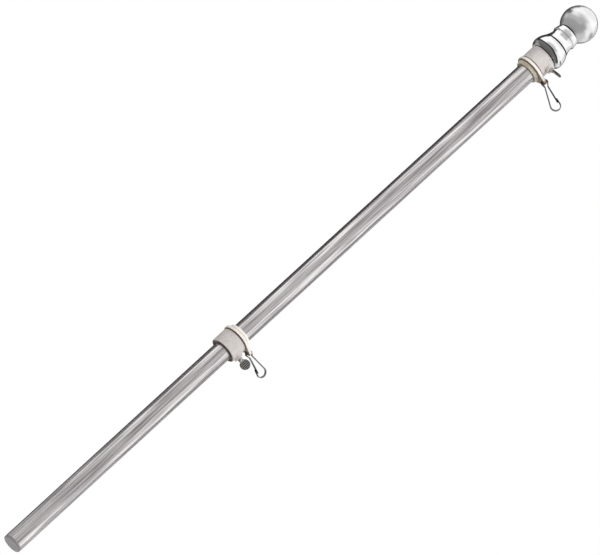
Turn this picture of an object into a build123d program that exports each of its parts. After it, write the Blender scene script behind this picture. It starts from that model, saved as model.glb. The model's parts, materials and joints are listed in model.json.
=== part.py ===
from build123d import *
import os
from math import acos, atan2, cos, hypot, sin

# A hand-carried flagpole: a one-inch brushed steel tube closed by a plug at the butt,
# a chromed ball finial on its top, and two plastic rotating rings clamped on the tube.
# Each ring is a barrel with a thumb screw, a pear-shaped plate that spins on the barrel's
# sleeve, a retainer that keeps the plate on, and a spring-steel snap hook in the plate's lug.
#
# The pole stands along +Z. The origin is the centre of the butt plug's flat face.
# Azimuths are turned from +X, where the lower ring's lug points. Sizes are in millimetres.

# ---- pole ----
OVERALL_LENGTH = 1016.0  # butt face to the top of the ball, 40 inches
TUBE_DIAMETER = 25.4
TUBE_WALL = 0.9
PLUG_FLANGE = 3.0  # the part of the plug that shows
PLUG_RIM_RADIUS = 1.0
PLUG_SPIGOT_LENGTH = 18.0
PUSH_FIT = 0.1  # radial play of pieces that are pushed together and glued

# ---- finial ----
BALL_DIAMETER = 46.8
BALL_WALL = 1.5
BALL_FLAT_DEPTH = 1.0  # how much of the ball's underside is cut flat to sit on the neck
BALL_FLOOR = 4.4  # thickness of the solid floor that the stud screws into
STUD_DIAMETER = 8.0
STUD_PROUD = 0.8  # the stud's end, past the ball's floor
NECK_HEIGHT = 39.4  # base to the ball's seat
SOCKET_DEPTH = 32.0
BASE_WALL = 6.4  # these five are thicknesses over the tube's socket
BEAD_WALL = 9.8
BEAD_HEIGHT = 6.5  # height of the bead's widest line over the base
SHOULDER_WALL = 6.3
SHOULDER_HEIGHT = 19.0
GROOVE_DEPTH = 1.3
GROOVE_WIDTH = 1.4
WAIST_WALL = 2.6
WAIST_HEIGHT = 29.5
FLANK_RADIUS = 40.0  # hollow curve from the groove down to the waist
COLLAR_WALL = 3.5
COLLAR_THICKNESS = 8.1
COLLAR_LIP = 3.4  # how far the collar's rim stands above the ball's seat

# ---- rotating rings ----
LOWER_RING_HEIGHT = 366.8  # butt face to the lower ring's open end
UPPER_RING_GAP = 0.6  # between the upper ring's open end and the finial's base
SLIDING_PLAY = 0.3  # radial, barrel on tube and plate on sleeve
PLATE_GAP = 0.8  # the groove between the barrel and the spinning plate
AXIAL_PLAY = 0.3  # between the plate and its retainer
BARREL_WALL = 4.75
BARREL_LENGTH = 21.2
BARREL_RIM_WALL = 1.2  # wall left round the recess in the open end
RECESS_DEPTH = 3.2
SLEEVE_WALL = 2.1
SLEEVE_STEP = 0.8  # the shoulder that the retainer seats on
PLATE_RIM = 3.9  # plate's edge over the sleeve
PLATE_THICKNESS = 3.8
LUG_REACH = 7.8  # lug's tip over the plate's edge
LUG_TIP_RADIUS = 5.0
LUG_HOLE_DIAMETER = 5.2
LUG_RIM = 3.7  # plastic left between the hole and the lug's tip
RETAINER_RIM = 1.9  # retainer's wide end over the sleeve
RETAINER_END_RIM = 0.4  # its narrow end over the sleeve
RETAINER_THICKNESS = 4.8
SNAP_SLOT_WIDTH = 2.6
SNAP_SLOT_DEPTH = 3.2
EDGE_ROUND = 0.6
SCREW_HEIGHT = 8.6  # barrel's open end to the screw's axis
BOSS_DIAMETER = 12.0
BOSS_PROUD = 2.8  # over the barrel

# ---- thumb screws ----
SCREW_DIAMETER = 6.0
SCREW_PLAY = 0.08
TIP_CLEARANCE = 0.2  # a screw just slackened off the tube
HEAD_DIAMETER = 13.0
HEAD_THICKNESS = 2.8
HEAD_NECK = 3.4  # bare shank between the boss and the head
HEAD_EDGE_ROUND = 0.5
HEAD_FORGING = 3.7  # thickness of the shank where it is forged flat
LOWER_SCREW_AZIMUTH = -10.0
UPPER_SCREW_AZIMUTH = -40.0
LOWER_HEAD_TURN = 20.0  # how the spade head was left when it was tightened
UPPER_HEAD_TURN = 107.0

# ---- snap hooks ----
STRIP_THICKNESS = 1.2
STRIP_WIDTH = 3.2
EYE_PLAY = 0.3  # between the lug's corners and the eye
HOOK_REACH = 39.9  # eye centre to the far side of the bow
BOW_WIDTH = 13.8
NECK_DISTANCE = 5.8  # eye centre to the pinched neck
NECK_HALF = 2.0  # half the distance between the two legs at the neck
LATCH_START = 25.0  # eye centre to the tip of the nose
LATCH_OVERLAP = 4.0  # gate past the tip of the nose
LATCH_GAP = 0.15
LOWER_LEAN = -4.0  # the hooks lean from the radial direction towards the butt
UPPER_LEAN = 22.0
LOWER_YAW = 26.0  # the lower hook is also turned sideways in its lug's hole
UPPER_YAW = 0.0
LOWER_LUG_AZIMUTH = 0.0
UPPER_LUG_AZIMUTH = -20.0

# ---- sizes that follow ----
tube_radius = TUBE_DIAMETER / 2
tube_bore = tube_radius - TUBE_WALL
ball_radius = BALL_DIAMETER / 2
ball_centre = OVERALL_LENGTH - ball_radius
ball_seat = ball_centre - ball_radius + BALL_FLAT_DEPTH
neck_base = ball_seat - NECK_HEIGHT
tube_top = neck_base + SOCKET_DEPTH
socket_radius = tube_radius + PUSH_FIT

ring_bore = tube_radius + SLIDING_PLAY
sleeve_radius = ring_bore + SLEEVE_WALL
barrel_radius = ring_bore + BARREL_WALL
plate_radius = sleeve_radius + PLATE_RIM
lug_tip = plate_radius + LUG_REACH
plate_start = BARREL_LENGTH + PLATE_GAP
plate_middle = plate_start + PLATE_THICKNESS / 2
retainer_start = plate_start + PLATE_THICKNESS + AXIAL_PLAY
ring_length = retainer_start + RETAINER_THICKNESS
boss_top = barrel_radius + BOSS_PROUD
head_centre = boss_top + HEAD_NECK + HEAD_DIAMETER / 2

lug_hole = lug_tip - LUG_RIM - LUG_HOLE_DIAMETER / 2
eye_centre = lug_tip - LUG_RIM / 2 - STRIP_THICKNESS / 2
eye_inside = hypot(lug_tip - eye_centre, PLATE_THICKNESS / 2) + EYE_PLAY
eye_radius = eye_inside + STRIP_THICKNESS / 2
bow_radius = (BOW_WIDTH - STRIP_THICKNESS) / 2
bow_centre = HOOK_REACH - BOW_WIDTH / 2


def tangent_point(point, centre, radius, side):
    """Where a straight line from the point touches a circle; side picks one of the two."""
    across, along = point[0] - centre[0], point[1] - centre[1]
    angle = atan2(along, across) + side * acos(radius / hypot(across, along))
    return centre[0] + radius * cos(angle), centre[1] + radius * sin(angle)


# ---- the pole and its ends ----
def make_pole_tube():
    length = tube_top - PLUG_FLANGE
    tube = extrude(Circle(tube_radius) - Circle(tube_bore), length)
    return Pos(0, 0, PLUG_FLANGE) * tube


def make_butt_plug():
    flange = extrude(Circle(tube_radius), PLUG_FLANGE)
    flange = fillet(flange.edges().sort_by(Axis.Z)[0], PLUG_RIM_RADIUS)
    spigot = extrude(Circle(tube_bore - PUSH_FIT), PLUG_FLANGE + PLUG_SPIGOT_LENGTH)
    spigot = chamfer(spigot.edges().sort_by(Axis.Z)[-1], PLUG_RIM_RADIUS)
    # the spigot starts inside the flange, so the rim's rounding stays whole
    return flange + (spigot - extrude(Circle(tube_radius), PLUG_FLANGE / 2))


def bead_radius(inwards, along):
    """Radius of an arc that starts parallel to the pole and curves in by the time it ends."""
    return (inwards**2 + along**2) / (2 * inwards)


def make_finial_neck():
    """Turned neck: bead, groove, tapering waist and a dished collar with the ball's stud."""
    socket = socket_radius
    base = socket + BASE_WALL
    widest = socket + BEAD_WALL
    shoulder = socket + SHOULDER_WALL
    waist = socket + WAIST_WALL
    collar = socket + COLLAR_WALL
    groove_low = SHOULDER_HEIGHT
    groove_high = SHOULDER_HEIGHT + GROOVE_WIDTH
    collar_low = NECK_HEIGHT + COLLAR_LIP - COLLAR_THICKNESS
    rim = NECK_HEIGHT + COLLAR_LIP
    dish = ball_flat_radius() + EDGE_ROUND
    stud = STUD_DIAMETER / 2
    stud_top = NECK_HEIGHT + BALL_FLOOR - BALL_FLAT_DEPTH + STUD_PROUD
    inside = Polyline(
        (collar - EDGE_ROUND, rim), (dish, NECK_HEIGHT), (stud, NECK_HEIGHT),
        (stud, stud_top), (0, stud_top), (0, SOCKET_DEPTH), (socket, SOCKET_DEPTH),
        (socket, 0), (base, 0),
    )
    # the bead's two curves meet smoothly on its widest line
    under_radius = bead_radius(widest - base, BEAD_HEIGHT)
    over_radius = bead_radius(widest - shoulder, groove_low - BEAD_HEIGHT)
    under_bead = RadiusArc((base, 0), (widest, BEAD_HEIGHT), -under_radius)
    over_bead = RadiusArc((widest, BEAD_HEIGHT), (shoulder, groove_low), -over_radius)
    groove = Polyline(
        (shoulder, groove_low), (shoulder - GROOVE_DEPTH, groove_low + GROOVE_WIDTH / 2),
        (shoulder - GROOVE_DEPTH / 2, groove_high),
    )
    flank = RadiusArc((shoulder - GROOVE_DEPTH / 2, groove_high),
                      (waist, WAIST_HEIGHT), FLANK_RADIUS)
    outside = Polyline(
        (waist, WAIST_HEIGHT), (waist, collar_low - EDGE_ROUND),
        (collar, collar_low + EDGE_ROUND), (collar, rim - EDGE_ROUND),
        (collar - EDGE_ROUND, rim),
    )
    outline = make_face(inside + under_bead + over_bead + groove + flank + outside)
    return Pos(0, 0, neck_base) * revolve(Plane.XZ * outline, Axis.Z)


def ball_flat_radius():
    """Radius of the flat cut on the ball's underside."""
    return (ball_radius**2 - (ball_radius - BALL_FLAT_DEPTH) ** 2) ** 0.5


def make_finial_ball():
    """A hollow ball whose thick floor is bored for the neck's stud."""
    floor_top = -ball_radius + BALL_FLOOR
    hollow = Sphere(ball_radius - BALL_WALL)
    hollow -= Pos(0, 0, floor_top - ball_radius) * Box(*(BALL_DIAMETER,) * 3)
    below = Pos(0, 0, -BALL_DIAMETER + BALL_FLAT_DEPTH) * Box(*(BALL_DIAMETER,) * 3)
    bore = Pos(0, 0, -ball_radius) * extrude(
        Circle(STUD_DIAMETER / 2 + PUSH_FIT), BALL_FLOOR + BALL_WALL
    )
    return Pos(0, 0, ball_centre) * (Sphere(ball_radius) - hollow - below - bore)


# ---- the rotating rings, drawn with the open end at z = 0 and the retainer above ----
def make_ring_barrel(azimuth):
    """Barrel, screw boss, and the thin sleeve that the plate spins on."""
    step = sleeve_radius - SLEEVE_STEP
    recess = barrel_radius - BARREL_RIM_WALL
    body = extrude(Circle(barrel_radius), BARREL_LENGTH)
    body = fillet(body.edges().group_by(Axis.Z)[0] + body.edges().group_by(Axis.Z)[-1], EDGE_ROUND)
    boss = extrude(Plane.YZ * Circle(BOSS_DIAMETER / 2), boss_top)
    boss = fillet(boss.edges().group_by(Axis.X)[-1], EDGE_ROUND)
    body += Rot(0, 0, azimuth) * Pos(0, 0, SCREW_HEIGHT) * boss
    body += extrude(Circle(sleeve_radius), retainer_start) + extrude(Circle(step), ring_length)
    body -= extrude(Circle(ring_bore), ring_length)
    body -= extrude(Circle(recess), RECESS_DEPTH)
    hole = extrude(Plane.YZ * Circle(SCREW_DIAMETER / 2 + SCREW_PLAY), head_centre)
    body -= Rot(0, 0, azimuth) * Pos(0, 0, SCREW_HEIGHT) * hole
    slot = Box(SNAP_SLOT_WIDTH, 2 * barrel_radius, 2 * SNAP_SLOT_DEPTH)
    return body - Pos(0, 0, ring_length) * slot


def make_ring_spinner():
    """Pear-shaped plate: a washer drawn out to a lug with the hook's hole."""
    tip_centre = lug_tip - LUG_TIP_RADIUS
    round_edge = Circle(plate_radius).edge()
    tip_edge = (Pos(tip_centre, 0) * Circle(LUG_TIP_RADIUS)).edge()
    plate = extrude(make_hull([round_edge, tip_edge]), PLATE_THICKNESS)
    rims = plate.edges().group_by(Axis.Z)
    plate = fillet(rims[0] + rims[-1], EDGE_ROUND)
    plate -= extrude(Circle(sleeve_radius + SLIDING_PLAY), PLATE_THICKNESS)
    plate -= Pos(lug_hole, 0) * extrude(Circle(LUG_HOLE_DIAMETER / 2), PLATE_THICKNESS)
    return Pos(0, 0, plate_start) * plate


def make_ring_retainer():
    """The tapered ring that snaps on the sleeve's stepped end and keeps the plate on."""
    wide, narrow = sleeve_radius + RETAINER_RIM, sleeve_radius + RETAINER_END_RIM
    upwards = (Align.CENTER, Align.CENTER, Align.MIN)
    ring = Cone(wide, narrow, RETAINER_THICKNESS, align=upwards)
    ring = fillet(ring.edges().group_by(Axis.Z)[-1], EDGE_ROUND)
    ring -= extrude(Circle(sleeve_radius - SLEEVE_STEP + PUSH_FIT / 2), RETAINER_THICKNESS)
    return Pos(0, 0, retainer_start) * ring


def make_thumb_screw(azimuth, turn):
    """A screw with a flat round spade head, along +X and then turned to its place."""
    tip = tube_radius + TIP_CLEARANCE
    forged_from = boss_top + HEAD_NECK
    shank = extrude(Plane.YZ * Circle(SCREW_DIAMETER / 2), head_centre - tip)
    shank = Pos(tip, 0, 0) * chamfer(shank.edges().group_by(Axis.X)[0], EDGE_ROUND)
    # the round shank is forged flat where it runs into the head
    flat = Pos(forged_from + SCREW_DIAMETER, 0, 0) * Box(2 * SCREW_DIAMETER, *(2 * SCREW_DIAMETER,) * 2)
    forging = Pos(forged_from + SCREW_DIAMETER, 0, 0) * Box(
        2 * SCREW_DIAMETER, HEAD_FORGING, 2 * SCREW_DIAMETER
    )
    spade = extrude(Plane.XZ * Circle(HEAD_DIAMETER / 2), HEAD_THICKNESS / 2, both=True)
    spade = fillet(spade.edges().filter_by(GeomType.CIRCLE), HEAD_EDGE_ROUND)
    screw = (shank - (flat - forging)) + Pos(head_centre, 0, 0) * spade
    return Rot(0, 0, azimuth) * Pos(0, 0, SCREW_HEIGHT) * Rot(turn, 0, 0) * screw


def make_snap_hook(lean, gate_side):
    """One bent strip: gate, pinched eye, spine and bow, ending in a nose outside the gate."""
    neck = {side: (NECK_DISTANCE, side * NECK_HALF) for side in (1, -1)}
    eye = {side: tangent_point(neck[side], (0, 0), eye_radius, side) for side in (1, -1)}
    bow = {
        side: tangent_point(neck[side], (bow_centre, 0), bow_radius, -side) for side in (1, -1)
    }
    # unit vector from the neck to the bow on the gate's side, and its inward normal
    run_x, run_y = bow[1][0] - neck[1][0], bow[1][1] - neck[1][1]
    run = hypot(run_x, run_y)
    along = (run_x / run, run_y / run)
    inward = (along[1], -along[0])
    nose_at = (LATCH_START - NECK_DISTANCE) / along[0]
    nose = tuple(neck[1][i] + along[i] * nose_at for i in (0, 1))
    shift = STRIP_THICKNESS + LATCH_GAP
    gate_at = nose_at + LATCH_OVERLAP
    gate = tuple(neck[1][i] + along[i] * gate_at + inward[i] * shift for i in (0, 1))
    path = [
        Line(gate, neck[1]),
        Line(neck[1], eye[1]),
        ThreePointArc(eye[1], (-eye_radius, 0), eye[-1]),
        Line(eye[-1], neck[-1]),
        Line(neck[-1], bow[-1]),
        ThreePointArc(bow[-1], (bow_centre + bow_radius, 0), bow[1]),
        Line(bow[1], nose),
    ]
    # each run is given the strip's thickness, with round bends at the neck and round ends
    strip = Sketch() + [trace(piece, STRIP_THICKNESS) for piece in path]
    for bend in (neck[1], neck[-1], gate, nose):
        strip += Pos(*bend) * Circle(STRIP_THICKNESS / 2)
    hook = extrude(strip, STRIP_WIDTH / 2, both=True)
    # drawn in the XY plane with the gate towards +Y; stood up so that +Y becomes +Z or -Z
    return Rot(0, lean, 0) * Rot(90 * gate_side, 0, 0) * hook


def build():
    parts = {
        "pole_tube": make_pole_tube(),
        "butt_plug": make_butt_plug(),
        "finial_neck": make_finial_neck(),
        "finial_ball": make_finial_ball(),
    }
    # the upper ring is the same ring turned over, its open end against the finial
    upper_end = neck_base - UPPER_RING_GAP
    lower_place = Pos(0, 0, LOWER_RING_HEIGHT)
    upper_place = Pos(0, 0, upper_end) * Rot(180, 0, 0)
    screws = {
        "lower": (lower_place, LOWER_SCREW_AZIMUTH, LOWER_HEAD_TURN),
        "upper": (upper_place, -UPPER_SCREW_AZIMUTH, UPPER_HEAD_TURN),
    }
    for ring, (place, azimuth, turn) in screws.items():
        parts[f"{ring}_ring_barrel"] = place * make_ring_barrel(azimuth)
        parts[f"{ring}_ring_retainer"] = place * make_ring_retainer()
        parts[f"{ring}_thumb_screw"] = place * make_thumb_screw(azimuth, turn)
    spinners = {
        "lower": (lower_place, LOWER_LUG_AZIMUTH, LOWER_RING_HEIGHT + plate_middle),
        "upper": (upper_place, UPPER_LUG_AZIMUTH, upper_end - plate_middle),
    }
    hooks = {"lower": (LOWER_LEAN, LOWER_YAW, -1), "upper": (UPPER_LEAN, UPPER_YAW, 1)}
    for ring, (place, azimuth, height) in spinners.items():
        lean, yaw, gate_side = hooks[ring]
        swing_plane = Rot(0, 0, azimuth) * Pos(lug_hole, 0, height) * Rot(0, 0, yaw)
        hook = Pos(eye_centre - lug_hole, 0, 0) * make_snap_hook(lean, gate_side)
        parts[f"{ring}_ring_spinner"] = Rot(0, 0, azimuth) * place * make_ring_spinner()
        parts[f"{ring}_snap_hook"] = swing_plane * hook
    return parts


os.makedirs("parts", exist_ok=True)
for node, solid in build().items():
    export_step(solid, f"parts/{node}.step")
    box = solid.bounding_box()
    print(f"{node:22s} {solid.volume:9.0f} mm3  x {box.min.X:6.1f} {box.max.X:6.1f}"
          f"  z {box.min.Z:7.1f} {box.max.Z:7.1f}")
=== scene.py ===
# %% [markdown]
# # A hand-carried flagpole
# A one-inch brushed steel tube, a chromed ball finial, and two plastic rotating rings,
# each with a thumb screw and a spring-steel snap hook for the flag's edge.
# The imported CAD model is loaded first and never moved: it says where everything is.
# The pole stands up along Z on its butt plug, and every length here is in metres.

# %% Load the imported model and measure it
import json
import math

import bmesh
import bpy
from mathutils import Matrix, Quaternion, Vector


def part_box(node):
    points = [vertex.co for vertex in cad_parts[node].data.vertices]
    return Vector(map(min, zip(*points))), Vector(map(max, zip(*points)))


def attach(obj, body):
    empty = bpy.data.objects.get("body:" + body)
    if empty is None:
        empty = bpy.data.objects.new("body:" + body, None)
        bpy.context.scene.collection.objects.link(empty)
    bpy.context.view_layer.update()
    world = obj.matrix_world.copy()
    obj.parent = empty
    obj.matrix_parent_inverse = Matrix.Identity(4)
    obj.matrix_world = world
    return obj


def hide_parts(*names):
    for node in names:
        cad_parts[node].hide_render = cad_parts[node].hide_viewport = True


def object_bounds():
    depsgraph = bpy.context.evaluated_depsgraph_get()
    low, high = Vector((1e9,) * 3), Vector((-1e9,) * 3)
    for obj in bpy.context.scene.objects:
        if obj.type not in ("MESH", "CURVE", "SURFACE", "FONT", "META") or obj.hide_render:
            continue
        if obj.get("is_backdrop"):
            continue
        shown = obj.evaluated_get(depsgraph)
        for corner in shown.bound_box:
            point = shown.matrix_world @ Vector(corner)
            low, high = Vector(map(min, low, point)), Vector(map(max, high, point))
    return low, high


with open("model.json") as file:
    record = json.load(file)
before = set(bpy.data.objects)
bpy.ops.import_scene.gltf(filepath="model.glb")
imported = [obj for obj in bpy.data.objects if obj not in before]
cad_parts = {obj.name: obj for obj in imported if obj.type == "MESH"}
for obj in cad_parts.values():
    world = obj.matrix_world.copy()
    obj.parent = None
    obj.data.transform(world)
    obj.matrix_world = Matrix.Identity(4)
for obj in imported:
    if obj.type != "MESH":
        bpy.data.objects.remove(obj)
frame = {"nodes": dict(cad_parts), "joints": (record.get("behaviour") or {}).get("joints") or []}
cad_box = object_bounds()
joints = {joint["name"]: joint for joint in frame["joints"]}
MM = 0.001
print("CAD box", cad_box)

# %% [markdown]
# ## The camera
# The pole is seen from its butt end, slightly from below, and lies across the view from
# the lower left to the upper right. A pole a metre long that keeps its width from end to
# end needs a distant camera with a long lens, so that perspective hardly shows.
# The camera looks at the middle of the pole and is rolled about its own line of sight.

# %% Place the camera
VIEW_AZIMUTH = math.radians(-8.0)  # turned about the pole from straight ahead
VIEW_ELEVATION = math.radians(-20.365)  # below level, so the butt end comes nearer
POLE_SLOPE = math.radians(42.4995)  # how steeply the pole rises across the view
CAMERA_DISTANCE = 28.0
SENSOR_WIDTH = 36.0  # in millimetres, like the lens
VIEW_WIDTH = 0.7257  # what the view spans at the pole
AIM_HEIGHT = 0.50385
AIM_SIDEWAYS = -2.286 * MM

to_camera = Vector((
    math.sin(VIEW_AZIMUTH) * math.cos(VIEW_ELEVATION),
    -math.cos(VIEW_AZIMUTH) * math.cos(VIEW_ELEVATION),
    math.sin(VIEW_ELEVATION),
))
upright = (-to_camera).to_track_quat("-Z", "Y")
rolled = Quaternion(-to_camera, POLE_SLOPE - math.pi / 2) @ upright
aim = Vector((0, 0, AIM_HEIGHT)) + upright @ Vector((AIM_SIDEWAYS, 0, 0))

scene = bpy.context.scene


def new_object(name, data):
    """An object of this name and data, put into the scene."""
    thing = bpy.data.objects.new(name, data)
    scene.collection.objects.link(thing)
    return thing


camera = new_object("camera", bpy.data.cameras.new("camera"))
camera.rotation_mode = "QUATERNION"
camera.rotation_quaternion = rolled
camera.location = aim + to_camera * CAMERA_DISTANCE
camera.data.sensor_width = SENSOR_WIDTH
camera.data.lens = SENSOR_WIDTH * CAMERA_DISTANCE / VIEW_WIDTH
camera.data.clip_end = 100.0
scene.camera = camera
scene.view_settings.view_transform = "Standard"
print("lens", round(camera.data.lens), "mm, aimed at", tuple(round(v, 4) for v in aim))

# %% [markdown]
# ## Small helpers for materials
# A colour is easiest to judge as it appears on a screen, as an sRGB hex value, but the
# renderer works in linear light, so one function turns the first into the second.
# Every shading network is a few dozen nodes, and one function that adds a node together
# with its settings and its links keeps each network readable as a list. Every finish
# ends in a colour, a roughness and a fine relief, so one more function links those.

# %% Colour and node helpers
def linear(hex_colour):
    """An sRGB hex colour as the linear red, green, blue and alpha that sockets take."""
    channels = [int(hex_colour[i:i + 2], 16) / 255 for i in (1, 3, 5)]
    light = [c / 12.92 if c <= 0.04045 else ((c + 0.055) / 1.055) ** 2.4 for c in channels]
    return tuple(light) + (1.0,)


def add_node(tree, kind, inputs=None, **settings):
    """Adds a node, sets its properties, and fills or links its sockets by name or number.

    A node that is given for a socket stands for its own first output.
    """
    node = tree.nodes.new(kind)
    for name, value in settings.items():
        setattr(node, name, value)
    for name, value in (inputs or {}).items():
        if isinstance(value, bpy.types.Node):
            value = value.outputs[0]
        if isinstance(value, bpy.types.NodeSocket):
            tree.links.new(value, node.inputs[name])
        else:
            node.inputs[name].default_value = value
    return node


def dress(shader, colour, gloss, relief):
    """Links a mixed colour, a roughness and a bump to the shader that they finish."""
    links = shader.id_data.links
    links.new(colour.outputs[2], shader.inputs["Base Color"])
    links.new(gloss.outputs[0], shader.inputs["Roughness"])
    links.new(relief.outputs[0], shader.inputs["Normal"])


print("linear mid grey", linear("#808080"))

# %% [markdown]
# ## The studio
# Polished and brushed metal look like whatever surrounds them, so a photographer puts
# them in a tent of paper: white paper gives the bright bands, grey paper the body tone,
# and narrow black flags draw the dark lines along the edges of round things.
# The world is white to the camera and to reflections. For the soft light on matt
# surfaces it is dimmer, and soft lamps add the direction.

# %% White background and soft ambient light
def shows_it(tree):
    """1 for rays that show a thing itself: straight on, mirrored or through glass."""
    ray = add_node(tree, "ShaderNodeLightPath").outputs
    shows = ray["Is Camera Ray"]
    for kind in ("Is Glossy Ray", "Is Transmission Ray"):
        shows = add_node(tree, "ShaderNodeMath", {0: shows, 1: ray[kind]}, operation="MAXIMUM")
    return shows


AMBIENT = 0.36
WHITE = linear("#FFFFFF")

world = bpy.data.worlds.new("studio")
scene.world = world
world.use_nodes = True
tree = world.node_tree
tree.nodes.clear()
white = add_node(tree, "ShaderNodeBackground", {"Color": WHITE, "Strength": 1.0})
dim = add_node(tree, "ShaderNodeBackground", {"Color": WHITE, "Strength": AMBIENT})
mixed = add_node(tree, "ShaderNodeMixShader", {0: shows_it(tree), 1: dim, 2: white})
add_node(tree, "ShaderNodeOutputWorld", {"Surface": mixed})
print("ambient light", AMBIENT)

# %% Soft lamps, placed by azimuth and height around the pole
# name, azimuth, distance, height, size across, power in watts, height aimed at
LAMPS = (
    ("key_lamp", -60, 2.0, 3.0, 1.2, 75.0, 0.65),
    ("fill_lamp", -150, 2.6, 1.2, 1.6, 16.0, 0.5),
    ("rim_lamp", 20, 2.2, 1.6, 0.9, 22.0, 0.6),
    ("foot_lamp", -90, 0.05, -0.35, 0.2, 0.62, 0.0),
)
for name, azimuth, distance, height, size, power, aimed_at in LAMPS:
    light = bpy.data.lights.new(name, "AREA")
    light.size = size
    light.energy = power
    lamp = new_object(name, light)
    angle = math.radians(azimuth)
    lamp.location = (distance * math.cos(angle), distance * math.sin(angle), height)
    lamp.rotation_mode = "QUATERNION"
    lamp.rotation_quaternion = (Vector((0, 0, aimed_at)) - lamp.location).to_track_quat("-Z", "Y")
    lamp.visible_glossy = False
    lamp.visible_camera = False
    print(name, "at", tuple(round(v, 2) for v in lamp.location))


# %% [markdown]
# ## The floor
# The pole stands on a pale floor that keeps its shadow. The camera looks up from below
# the level of the floor, so its underside is made clear and only its top side is paper.
# Further out the paper fades into the white background, as a studio sweep does.
# A small round window in the paper, hidden under the butt, lets the foot lamp reach the
# plug's flat face, which would otherwise be black.

# %% Pale floor, clear from below
def studio_paper(name):
    """An empty material, never sampled as a lamp, and its tree."""
    material = bpy.data.materials.new(name)
    material.use_nodes = True
    material.node_tree.nodes.clear()
    material.cycles.emission_sampling = "NONE"
    return material, material.node_tree


def stage_mesh(name, vertices, faces, material):
    """Studio equipment from bare vertices and faces, kept apart from the object."""
    mesh = bpy.data.meshes.new(name)
    mesh.from_pydata(vertices, [], faces)
    mesh.materials.append(material)
    thing = new_object(name, mesh)
    thing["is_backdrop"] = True
    return thing


def ring_grid(rings, columns):
    """Vertices of horizontal rings (radius, height) and the quads that join them."""
    vertices = []
    for radius, height in rings:
        for column in range(columns):
            angle = math.tau * column / columns
            vertices.append((radius * math.cos(angle), radius * math.sin(angle), height))
    faces = []
    for ring in range(len(rings) - 1):
        for column in range(columns):
            here, beside = ring * columns + column, ring * columns + (column + 1) % columns
            faces.append((here, here + columns, beside + columns, beside))
    return vertices, faces


FLOOR_RADIUS = 20.0
FLOOR_COLUMNS = 96
FLOOR_DROP = 0.5 * MM  # keeps the floor clear of the plug's flat face
SHADOW_REACH = 0.5  # from here on the paper fades into the white background
FADE_END = 2.2
PLUG_RIM = 1.0 * MM  # the rounding of the plug's rim, which the window stays inside
plug_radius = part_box("butt_plug")[1].x

floor_paper, tree = studio_paper("pale_floor_paper")
surface = add_node(tree, "ShaderNodeNewGeometry")
paper = add_node(tree, "ShaderNodeBsdfDiffuse", {"Color": linear("#ECEBE9")})
glow = add_node(tree, "ShaderNodeEmission", {"Color": WHITE, "Strength": 1.0})
clear = add_node(tree, "ShaderNodeBsdfTransparent")
away = add_node(tree, "ShaderNodeVectorMath", {0: surface.outputs["Position"]}, operation="LENGTH")
fade = add_node(tree, "ShaderNodeMapRange", {
    "Value": away.outputs["Value"], "From Min": SHADOW_REACH, "From Max": FADE_END},
    interpolation_type="SMOOTHSTEP")
fade = add_node(tree, "ShaderNodeMath", {0: fade, 1: shows_it(tree)}, operation="MULTIPLY")
sweep = add_node(tree, "ShaderNodeMixShader", {0: fade, 1: paper, 2: glow})
top_only = add_node(tree, "ShaderNodeMixShader", {
    0: surface.outputs["Backfacing"], 1: sweep, 2: clear})
add_node(tree, "ShaderNodeOutputMaterial", {"Surface": top_only})

edges = [(radius, -FLOOR_DROP) for radius in (plug_radius - PLUG_RIM / 2, FLOOR_RADIUS)]
floor = stage_mesh("floor", *ring_grid(edges, FLOOR_COLUMNS), floor_paper)
print("floor faces up:", floor.data.polygons[0].normal.z > 0)


# %% [markdown]
# ## The paper tent
# The tent is a wall of paper round the pole and paper on the floor inside it. Only
# reflections see it: it gives no light, throws no shadow and never hides the object.
# Each sheet is soft-edged and has its own brightness. The brightness is worked out for
# every vertex and kept as an attribute that one glowing material reads.
# Azimuths run from +X, and the camera stands at about -98 degrees. Heights below zero
# are distances in from the wall along the floor.

# %% The tent's size and its sheets of paper
TENT_RADIUS = 4.0
TENT_HEIGHT = 8.0
TENT_ROW = 0.1
TENT_GAP = 0.02  # left open round the pole's foot
TENT_LIFT = 2 * MM  # clear of the floor
TENT_COLUMNS = 240
WALL_PAPER = 1.15
# azimuth, half its width, softness of the edge, then the same for height, brightness
SHEETS = (
    (0, 180, 1, -2.1, 2.0, 0.3, 0.36),  # grey floor
    (20, 40, 35, -2.1, 1.9, 0.4, 0.62),  # paler floor on the bright side
    (0, 180, 1, -4.0, 0.2, 0.4, 0.22),  # darker round the pole's foot
    (-130, 65, 25, 0.6, 0.95, 0.25, 0.52),  # grey along the foot of the wall
    (-66, 12, 22, 0.6, 1.0, 0.3, 0.34),  # darker, to its right
    (38, 22, 18, 2.0, 3.0, 0.8, 0.85),  # pale grey, far right
    (120, 14, 20, 2.2, 3.2, 0.8, 0.18),  # dark, behind on the left
    (-156, 12, 12, 2.15, 0.35, 0.3, 1.02),  # white, left
    (-36, 17, 14, 2.2, 0.75, 0.3, 0.96),  # white, right
    (-102, 18, 24, 2.0, 0.7, 0.3, 0.47),  # grey, on the camera's side
    (-108, 28, 34, 3.2, 0.4, 0.6, 0.56),  # grey, above it
    (-112, 6, 30, 4.0, 0.2, 1.0, 0.72),  # and higher
    (16, 14, 12, 1.9, 0.48, 0.1, 0.20),  # dark flag, right
    (142, 26, 9, 2.1, 0.5, 0.06, 0.02),  # black flag, left
    (85, 25, 20, 2.5, 2.8, 1.6, 0.06),  # black paper behind
    (118, 22, 8, 4.1, 1.5, 0.2, 0.05),  # black over the left flag
    (106, 13, 6, 0.7, 0.75, 0.15, 0.04),  # black below it
)
print(len(SHEETS), "sheets of paper")


# %% Work out how bright the tent is at each of its places, and build it
def clamp(value):
    """The value, kept between 0 and 1."""
    return min(max(value, 0.0), 1.0)


def ease(value):
    """The value, kept between 0 and 1 and slowed near both."""
    value = clamp(value)
    return value * value * (3 - 2 * value)


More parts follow.
